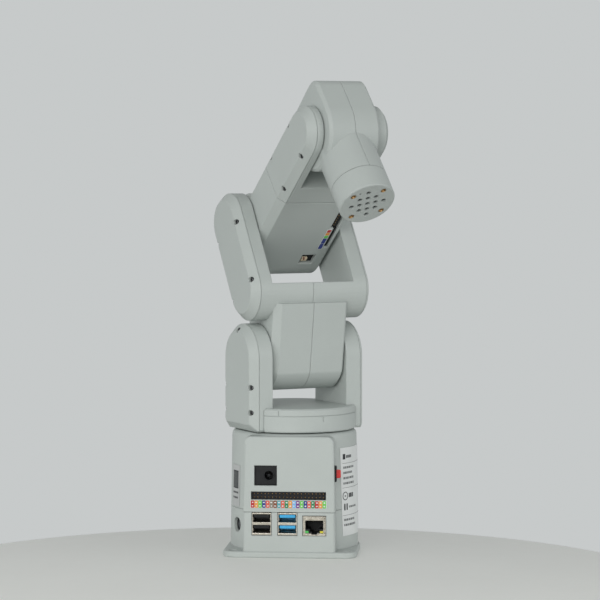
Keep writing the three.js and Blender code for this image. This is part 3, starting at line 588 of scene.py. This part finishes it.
# ---------------------------------------------------------------- base: ports and header
def build_usb_stacks():
    """Two double sockets: sleeves with soft edges, tongues with four gold pads, side springs."""
    for kind, x in USB_X.items():
        refined(f"{kind}_shell", 0.35)
        refined(f"{kind}_insulator", 0.25)
        pads, springs, noses = bmesh.new(), bmesh.new(), bmesh.new()
        for dz in (0.0, USB_STOREY):
            for k in range(4):
                pad = slab(1.1, 8.5, -0.12, 0.02, 0.2, 0.04)
                merge(pads, pad, at(x + (k - 1.5) * 2.4, PANEL_Y + 6.8, BOARD_TOP + TONGUE_UNDERSIDE + dz))
            nose = slab(10.9, 2.1, 0, 0.7, 0.3, 0.15)
            merge(noses, nose, facing_front(x, PANEL_Y + 1.2, BOARD_TOP + 5.72 + dz))
            for sx in (-1, 1):
                rise = [Vector((x + sx * (5.95 - 0.5 * math.sin(math.pi * t / 8)), PANEL_Y + 1.2 + 1.1 * t,
                                BOARD_TOP + 3.6 + dz)) for t in range(9)]
                section = ((-0.1, -0.9), (0.1, -0.9), (0.1, 0.9), (-0.1, 0.9))
                rings = [[p + Vector((dx, 0, h)) for dx, h in section] for p in rise]
                merge(springs, loft(rings))
        make_piece(f"{kind}_contacts", pads, BASE, "base", [BRASS])
        make_piece(f"{kind}_springs", springs, BASE, "base", [STEEL])
        slot = SLOT_OF[f"{kind}_insulator"]
        make_piece(f"{kind}_tongue_noses", noses, BASE, "base", [BY_SLOT[slot]])


def build_ethernet():
    """The network socket: soft sleeve, stepped mouth, eight gold wires, two indicator lenses."""
    refined("ethernet_shell", 0.3)
    refined("ethernet_insert", 0.3)
    wires, lamps, lip = bmesh.new(), bmesh.new(), bmesh.new()
    face = PANEL_Y + 0.1
    for x, z, w, h in ((0, 11.55, 14.4, 2.1), (-6.75, 5.95, 0.95, 8.9), (6.75, 5.95, 0.95, 8.9),
                       (-4.6, 1.0, 5.2, 0.8), (4.6, 1.0, 5.2, 0.8)):
        bar = slab(w, h, -0.35, 0, 0.15, 0.08)
        merge(lip, bar, facing_front(LAN_X + x, face - 0.35, BOARD_TOP + 0.1 + z))
    make_piece("ethernet_front_lip", lip, BASE, "base", [STEEL])
    for k in range(8):
        x = LAN_X + (k - 3.5) * 1.02
        path = [Vector((x, PANEL_Y + 1.5 + t * 1.6, BOARD_TOP + 10.6 - 0.42 * t)) for t in range(6)]
        merge(wires, rod_along(path, 0.2, 8))
    for index, sx in enumerate((-1, 1)):
        lens = slab(2.3, 1.5, 0, 0.9, 0.25, 0.15)
        merge(lamps, lens, facing_front(LAN_X + sx * 5.1, PANEL_Y + 0.35, BOARD_TOP + 2.6), index)
    make_piece("ethernet_wires", wires, BASE, "base", [BRASS])
    lenses = [lamp_lens("lens_green", (0.10, 0.55, 0.12)), lamp_lens("lens_yellow", (0.68, 0.60, 0.05))]
    make_piece("ethernet_lamps", lamps, BASE, "base", lenses)


def build_header():
    """The two-row socket strip with its chamfered wells; the colour code printed under it comes from
    build_colour_code.
    """
    refined("pin_header", 0.2)
    wells = bmesh.new()
    for col in range(PIN_COLS):
        for row in (-0.5, 0.5):
            rings = [[(px, py, z) for px, py in outline(w, w, r, 2)]
                     for w, r, z in ((2.1, 0.3, 0.0), (2.0, 0.25, 0.16), (1.3, 0.1, 0.16), (1.1, 0.1, -0.25),
                                     (1.1, 0.1, -0.3), (2.1, 0.3, -0.3))]
            x = HEADER_X + (col - (PIN_COLS - 1) / 2) * PIN_PITCH
            well = loft(rings + rings[:1], capped=False)
            bmesh.ops.remove_doubles(well, verts=well.verts, dist=1e-4)
            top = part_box("pin_header")[0].y / MM
            merge(wells, well, facing_front(x, top - 0.02, HEADER_Z + row * PIN_PITCH))
    make_piece("pin_header_wells", wells, BASE, "base", [BLACK])


PALETTE = {
    "red": (0.52, 0.035, 0.035), "orange": (0.80, 0.33, 0.07), "green": (0.16, 0.58, 0.10),
    "navy": (0.03, 0.05, 0.25), "coral": (0.72, 0.13, 0.08), "stone": (0.27, 0.23, 0.18),
    "brown": (0.23, 0.07, 0.025), "teal": (0.08, 0.36, 0.40), "forest": (0.02, 0.24, 0.10),
    "sky": (0.22, 0.48, 0.80), "purple": (0.20, 0.04, 0.26)}
HEADER_COLOURS = ("red", "orange", "green", "navy", "coral", "stone", "brown", "teal", "coral", "forest",
                  "orange", "sky", "purple", "green", "navy", "coral", "forest", "red", "orange", "green")
INKS = {name: ink("ink_" + name, rgb) for name, rgb in PALETTE.items()}


def build_colour_code():
    """Twenty coloured cells on white film, each with two plain white dashes."""
    names = list(INKS)
    cells, marks = bmesh.new(), bmesh.new()
    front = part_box("pin_colour_strip")[0].y / MM
    for col, colour in enumerate(HEADER_COLOURS):
        x = HEADER_X + (col - (PIN_COLS - 1) / 2) * CELL_PITCH
        cell = slab(2.56, 5.1, -0.06, 0.05, 0.5, 0.03)
        merge(cells, cell, facing_front(x, front, STRIP_Z), names.index(colour))
        for row in (-1, 1):
            wide = draws.choice((0.85, 1.05, 1.3))
            tall = draws.choice((0.75, 0.95))
            dash = slab(wide, tall, 0.0, 0.09, 0.2, 0.03)
            merge(marks, dash, facing_front(x + draws.uniform(-0.15, 0.15), front, STRIP_Z + row * 1.2))
    make_piece("header_colour_cells", cells, BASE, "base", [INKS[n] for n in names])
    make_piece("header_colour_dashes", marks, BASE, "base", [FILM])


def build_power_jack():
    """Barrel socket: a soft black housing, a lipped bore and a bright centre pin."""
    refined("dc_jack", 0.3)
    lip = lathe([(3.15, 0), (3.75, 0), (3.85, 0.12), (3.75, 0.3), (3.35, 0.34), (3.15, 0.2)], 48)
    jack_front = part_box("dc_jack")[0].y / MM
    ring = bmesh.new()
    merge(ring, lip, facing_front(JACK_X, jack_front, JACK_Z))
    make_piece("power_jack_lip", ring, BASE, "base", [BLACK])
    pin = lathe([(0, 0), (1.08, 0), (1.08, 6.0), (0.95, 6.4), (0.5, 6.75), (0, 6.85)], 24)
    post = bmesh.new()
    merge(post, pin, facing_front(JACK_X, jack_front + 8.2, JACK_Z))
    make_piece("power_jack_pin", post, BASE, "base", [STEEL])


def build_switch():
    refined("switch_body", 0.3)
    refined("switch_lever", 0.35)


def build_lamp():
    """The round recess in the left front: a dark rim ring and a small frosted lens on its floor."""
    out = Matrix.Rotation(math.radians(180 + LAMP_TURN), 4, "Z") @ Matrix.Rotation(math.radians(90), 4, "Y")
    place = Matrix.Translation((0, 0, LAMP_Z)) @ out
    low = LAMP_FLOOR
    lens, rim = bmesh.new(), bmesh.new()
    merge(lens, lathe([(0, low), (3.6, low), (3.6, low + 0.9), (3.2, low + 1.3), (1.8, low + 1.7),
                       (0, low + 1.8)], 32), place)
    merge(rim, lathe([(3.7, low), (5.1, low), (5.1, low + 1.3), (4.9, low + 1.5), (3.9, low + 1.5),
                      (3.7, low + 1.3)], 40), place)
    smoke = lamp_lens("lens_smoke", (0.06, 0.065, 0.07))
    make_piece("lamp_lens", lens, BASE, "base", [smoke])
    make_piece("lamp_rim", rim, BASE, "base", [BLACK])


# ---------------------------------------------------------------- labels
def base_radius(z):
    return BASE_R_FOOT + (BASE_R_TOP - BASE_R_FOOT) * z / BASE_H


def curved_patch(a0, a1, z0, z1, lift, thick=0.05):
    """A thin print wrapped on the round base between two angles and two heights."""
    steps = max(2, int(abs(a1 - a0) / 1.5) + 1)
    rings = []
    for z in (z0, z1):
        r = base_radius(z) + lift
        turns = [math.radians(a0 + (a1 - a0) * i / steps) for i in range(steps + 1)]
        outer = [((r + thick) * math.cos(a), (r + thick) * math.sin(a), z) for a in turns]
        inner = [(r * math.cos(a), r * math.sin(a), z) for a in turns[::-1]]
        rings.append(outer + inner)
    return loft(rings)


def curved_ring(a, z, radius, width, lift):
    """A plain printed circle on the round base."""
    bm = bmesh.new()
    rows = []
    for k in range(28):
        t = 2 * math.pi * k / 28
        row = []
        for r, up in ((radius, 0), (radius, 0.05), (radius - width, 0.05), (radius - width, 0)):
            height = z + r * math.sin(t)
            turn = math.radians(a) + r * math.cos(t) / base_radius(z)
            reach = base_radius(height) + lift + up
            row.append(bm.verts.new((reach * math.cos(turn), reach * math.sin(turn), height)))
        rows.append(row)
    for here, there in zip(rows, rows[1:] + rows[:1]):
        for i in range(4):
            j = (i + 1) % 4
            bm.faces.new((here[i], there[i], there[j], here[j]))
    bmesh.ops.recalc_face_normals(bm, faces=bm.faces)
    return bm


def dashes(bm, a, z, span, height, words, lift):
    """A row of short plain bars, like a line of small print."""
    reach = 0.0
    while words and reach < span:
        word = draws.uniform(1.1, 3.0)
        stop = min(reach + word, span)
        merge(bm, curved_patch(a + reach, a + stop, z - height / 2, z + height / 2, lift))
        reach = stop + draws.uniform(0.5, 0.9)
        words -= 1


def build_labels():
    """Plain stand-ins for the stickers: rules, bars, a ring and a block of stripes, with no lettering."""
    lift = PRINT_LIFT
    refined("right_label", 0.08)
    refined("left_label", 0.08, material=SILVER_FILM)
    black, grey = bmesh.new(), bmesh.new()
    start = -35.8
    merge(black, curved_patch(start, start + 3.6, 66.8, 70.6, lift))
    dashes(black, start + 5.2, 68.6, 12, 2.0, 4, lift)
    for z in (64.0, 46.8, 27.4):
        merge(grey, curved_patch(start - 0.6, 2.8, z - 0.12, z + 0.12, lift))
    for k in range(4):
        dashes(grey, start + 0.6, 61.0 - 3.7 * k, 18, 1.5, 7, lift)
    merge(black, curved_ring(start + 3.2, 41.0, 3.0, 0.55, lift))
    merge(black, curved_patch(start + 2.2, start + 4.2, 40.6, 41.4, lift))
    dashes(black, start + 8.6, 41.2, 8, 3.0, 3, lift)
    for turn in (2.2, 5.6):
        merge(black, curved_patch(start + turn - 0.9, start + turn + 0.9, 31.0, 35.6, lift))
    dashes(grey, start + 9.0, 33.0, 14, 1.3, 5, lift)
    for z in (24.2, 20.6):
        dashes(grey, start + 1.0, z, 20, 1.5, 7, lift)
    merge(black, curved_patch(202.5, 213.8, 45.5, 58.1, lift))
    for k in range(7):
        merge(grey, curved_patch(203.3 + 1.5 * k, 203.8 + 1.5 * k, 46.4, 57.2, lift + 0.05))
    for z in (42.6, 39.0):
        dashes(black, 202.6, z, 11, 1.3, 5, lift)
    make_piece("label_print_black", black, BASE, "base", [PRINT])
    make_piece("label_print_grey", grey, BASE, "base", [PRINT_GREY])


# ---------------------------------------------------------------- forearm details
def build_forearm_details():
    """Colour code, header pins and the white plug with its dark red lead, under the forearm."""
    refined("forearm_socket", 0.3)
    refined("forearm_board", 0.15)
    refined("forearm_pins", 0.12)
    refined("forearm_colour_strip", 0.05)
    liners = bmesh.new()
    slots = ((24.3, 42.7, 20.7, 25.3, -17.2, -15.3), (2.8, 23.7, 23.5, 25.9, -17.4, -14.9),
             (-15.7, -6.3, 10.6, 20.8, -16.3, -15.7))
    for x0, x1, y0, y1, z0, z1 in slots:
        merge(liners, slab(x1 - x0, y1 - y0, z0, z1, 0.3, 0.15), at((x0 + x1) / 2, (y0 + y1) / 2, 0))
    make_piece("forearm_slot_liners", liners, FORE, "forearm", [BLACK])
    names = ("red", "orange", "green", "navy")
    cells = bmesh.new()
    for x0, x1, index in ((19.8, 22.7, 0), (16.6, 19.5, 1), (13.4, 16.3, 2), (7.4, 13.1, 3), (1.3, 7.1, 3)):
        cell = slab(x1 - x0, 3.0, -0.06, 0.05, 0.4, 0.03)
        flip = Matrix.Rotation(math.pi, 4, "X")
        merge(cells, cell, Matrix.Translation(((x0 + x1) / 2, 20.6, -FORE_DEPTH - 0.35)) @ flip, index)
    make_piece("forearm_colour_cells", cells, FORE, "forearm", [INKS[n] for n in names])
    plug, leads = bmesh.new(), bmesh.new()
    merge(plug, slab(3.6, 4.4, -17.9, -15.0, 0.5, 0.25), at(-12.0, 13.9, 0))
    for k in range(2):
        y = 13.3 + k * 1.2
        path = [Vector((-12.6 + 0.55 * t, y + 0.3 * math.sin(t + k), -17.7 - 0.3 * math.sin(t * 0.6)))
                for t in range(6)]
        merge(leads, rod_along(path, 0.42, 10), index=k % 2)
    make_piece("forearm_plug", plug, FORE, "forearm", [CREAM])
    lead = [bright_plastic("lead_red", (0.22, 0.015, 0.012), 0.4), CREAM]
    make_piece("forearm_leads", leads, FORE, "forearm", lead)


# ---------------------------------------------------------------- flange
def build_inserts():
    """Threaded brass inserts: a chamfered rim, grooves down the bore."""
    at_corner = INSERT_AT * HOLE_PITCH
    top = FLANGE_END - 0.15
    for k, (sx, sy) in enumerate(((-1, -1), (-1, 1), (1, -1), (1, 1))):
        profile = [(1.85, top - 5.5), (1.85, top - 0.25), (1.7, top), (1.42, top), (1.2, top - 0.3)]
        for turn in range(8):
            z = top - 0.5 - 0.6 * turn
            profile += [(1.17, z), (1.38, z - 0.3)]
        profile.append((1.17, top - 5.5))
        insert = bmesh.new()
        merge(insert, lathe(profile, 36), at(sx * at_corner, sy * at_corner, 0))
        make_piece(f"insert_{k + 1}_threaded", insert, FLANGE, "tool_plate", [BRASS],
                   (f"flange_insert_{k + 1}",))


def build_hole_floors():
    """Dark plugs with a dished face, deep in the thirteen plain holes of the flange."""
    plugs = bmesh.new()
    for i in range(-2, 3):
        for j in range(-2, 3):
            if abs(i) + abs(j) < 3:
                top = FLANGE_END - 1.6
                plug = lathe([(0, top - 4), (1.62, top - 4), (1.62, top), (1.4, top), (1.1, top - 0.5),
                              (0, top - 0.6)], 24)
                merge(plugs, plug, at(i * HOLE_PITCH, j * HOLE_PITCH, 0))
    make_piece("flange_hole_floors", plugs, FLANGE, "tool_plate", [BLACK])


# ---------------------------------------------------------------- floor, light, camera
def build_floor():
    """A plain pale round table top under the arm, with a softly rounded rim."""
    bm = lathe([(0, 0), (FLOOR_R, 0), (FLOOR_R + 0.002, -0.001), (FLOOR_R + 0.003, -0.004), (FLOOR_R, -0.012),
                (0, -0.012)], 128)
    mesh = bpy.data.meshes.new("floor")
    bm.to_mesh(mesh)
    bm.free()
    mesh.shade_smooth()
    mesh.set_sharp_from_angle(angle=math.radians(38))
    f = Finish("floor_paint", 0.62, Emission_Color=(1.0, 1.0, 0.97, 1), Emission_Strength=0.11)
    f.colour(f.mix(f.between(f.noise(120, 2), 0, 1), (0.76, 0.77, 0.74, 1), (0.79, 0.80, 0.77, 1)))
    f.roughness(f.between(f.noise(9, 3), 0.55, 0.7))
    f.bump((f.noise(0.8, 2), 0.02, 0.2))
    mesh.materials.append(f.material)
    floor = bpy.data.objects.new("floor", mesh)
    floor.location = (0, FLOOR_BACK - FLOOR_R, 0)
    bpy.context.scene.collection.objects.link(floor)


def area_light(name, where, aim, size, energy, colour=(1, 1, 1)):
    data = bpy.data.lights.new(name, "AREA")
    data.shape = "RECTANGLE"
    data.size, data.size_y = size
    data.energy = energy
    data.color = colour
    light = bpy.data.objects.new(name, data)
    bpy.context.scene.collection.objects.link(light)
    light.location = where
    light.rotation_euler = (Vector(aim) - Vector(where)).to_track_quat("-Z", "Y").to_euler()


def build_light():
    world = bpy.data.worlds.new("studio")
    world.use_nodes = True
    sky = world.node_tree.nodes["Background"]
    tree = world.node_tree
    place = tree.nodes.new("ShaderNodeTexCoord")
    parts = tree.nodes.new("ShaderNodeSeparateXYZ")
    ramp = tree.nodes.new("ShaderNodeValToRGB")
    tree.links.new(place.outputs["Generated"], parts.inputs[0])
    height = tree.nodes.new("ShaderNodeMapRange")
    height.inputs["From Min"].default_value = -1.0
    tree.links.new(parts.outputs["Z"], height.inputs["Value"])
    tree.links.new(height.outputs["Result"], ramp.inputs["Fac"])
    tree.links.new(ramp.outputs["Color"], sky.inputs["Color"])
    stops = ((0.0, 0.12), (0.30, 0.16), (0.41, 0.59), (0.66, 0.59), (1.0, 0.10))
    while len(ramp.color_ramp.elements) < len(stops):
        ramp.color_ramp.elements.new(0.5)
    for element, (where, tone) in zip(ramp.color_ramp.elements, stops):
        element.position = where
        element.color = (0.965 * tone, tone, tone, 1)
    sky.inputs["Strength"].default_value = 1.0
    bpy.context.scene.world = world
    middle = (0, 0, 0.18)
    area_light("front_softbox", (-0.5, -2.6, 1.0), middle, (1.8, 1.3), 26, (1.0, 0.995, 0.98))
    area_light("left_softbox", (-2.3, -1.7, 0.6), middle, (1.0, 1.4), 9)
    area_light("right_softbox", (2.3, -1.5, 0.7), middle, (1.0, 1.4), 12)
    area_light("top_softbox", (0.1, -0.2, 2.2), middle, (1.6, 1.6), 2)


def build_camera():
    """A long lens a little right of the front, just above the arm, looking slightly down."""
    distance, around, height = 1.890, math.radians(4.93), 0.284
    heading, pitch = math.radians(4.81), math.radians(-3.24)
    data = bpy.data.cameras.new("camera")
    data.sensor_width = 36.0
    data.lens = 160.4
    data.clip_start, data.clip_end = 0.05, 60
    camera = bpy.data.objects.new("camera", data)
    bpy.context.scene.collection.objects.link(camera)
    camera.location = (distance * math.sin(around), -distance * math.cos(around), height)
    level = math.cos(pitch)
    ahead = Vector((-math.sin(heading) * level, math.cos(heading) * level, math.sin(pitch)))
    camera.rotation_euler = ahead.to_track_quat("-Z", "Y").to_euler()
    bpy.context.scene.camera = camera


build_camera()
finish_cad_nodes()
build_shells()
build_usb_stacks()
build_ethernet()
build_header()
build_colour_code()
build_power_jack()
build_switch()
build_lamp()
build_labels()
build_forearm_details()
build_inserts()
build_hole_floors()
build_floor()
build_light()
bpy.context.scene.view_settings.view_transform = "Standard"
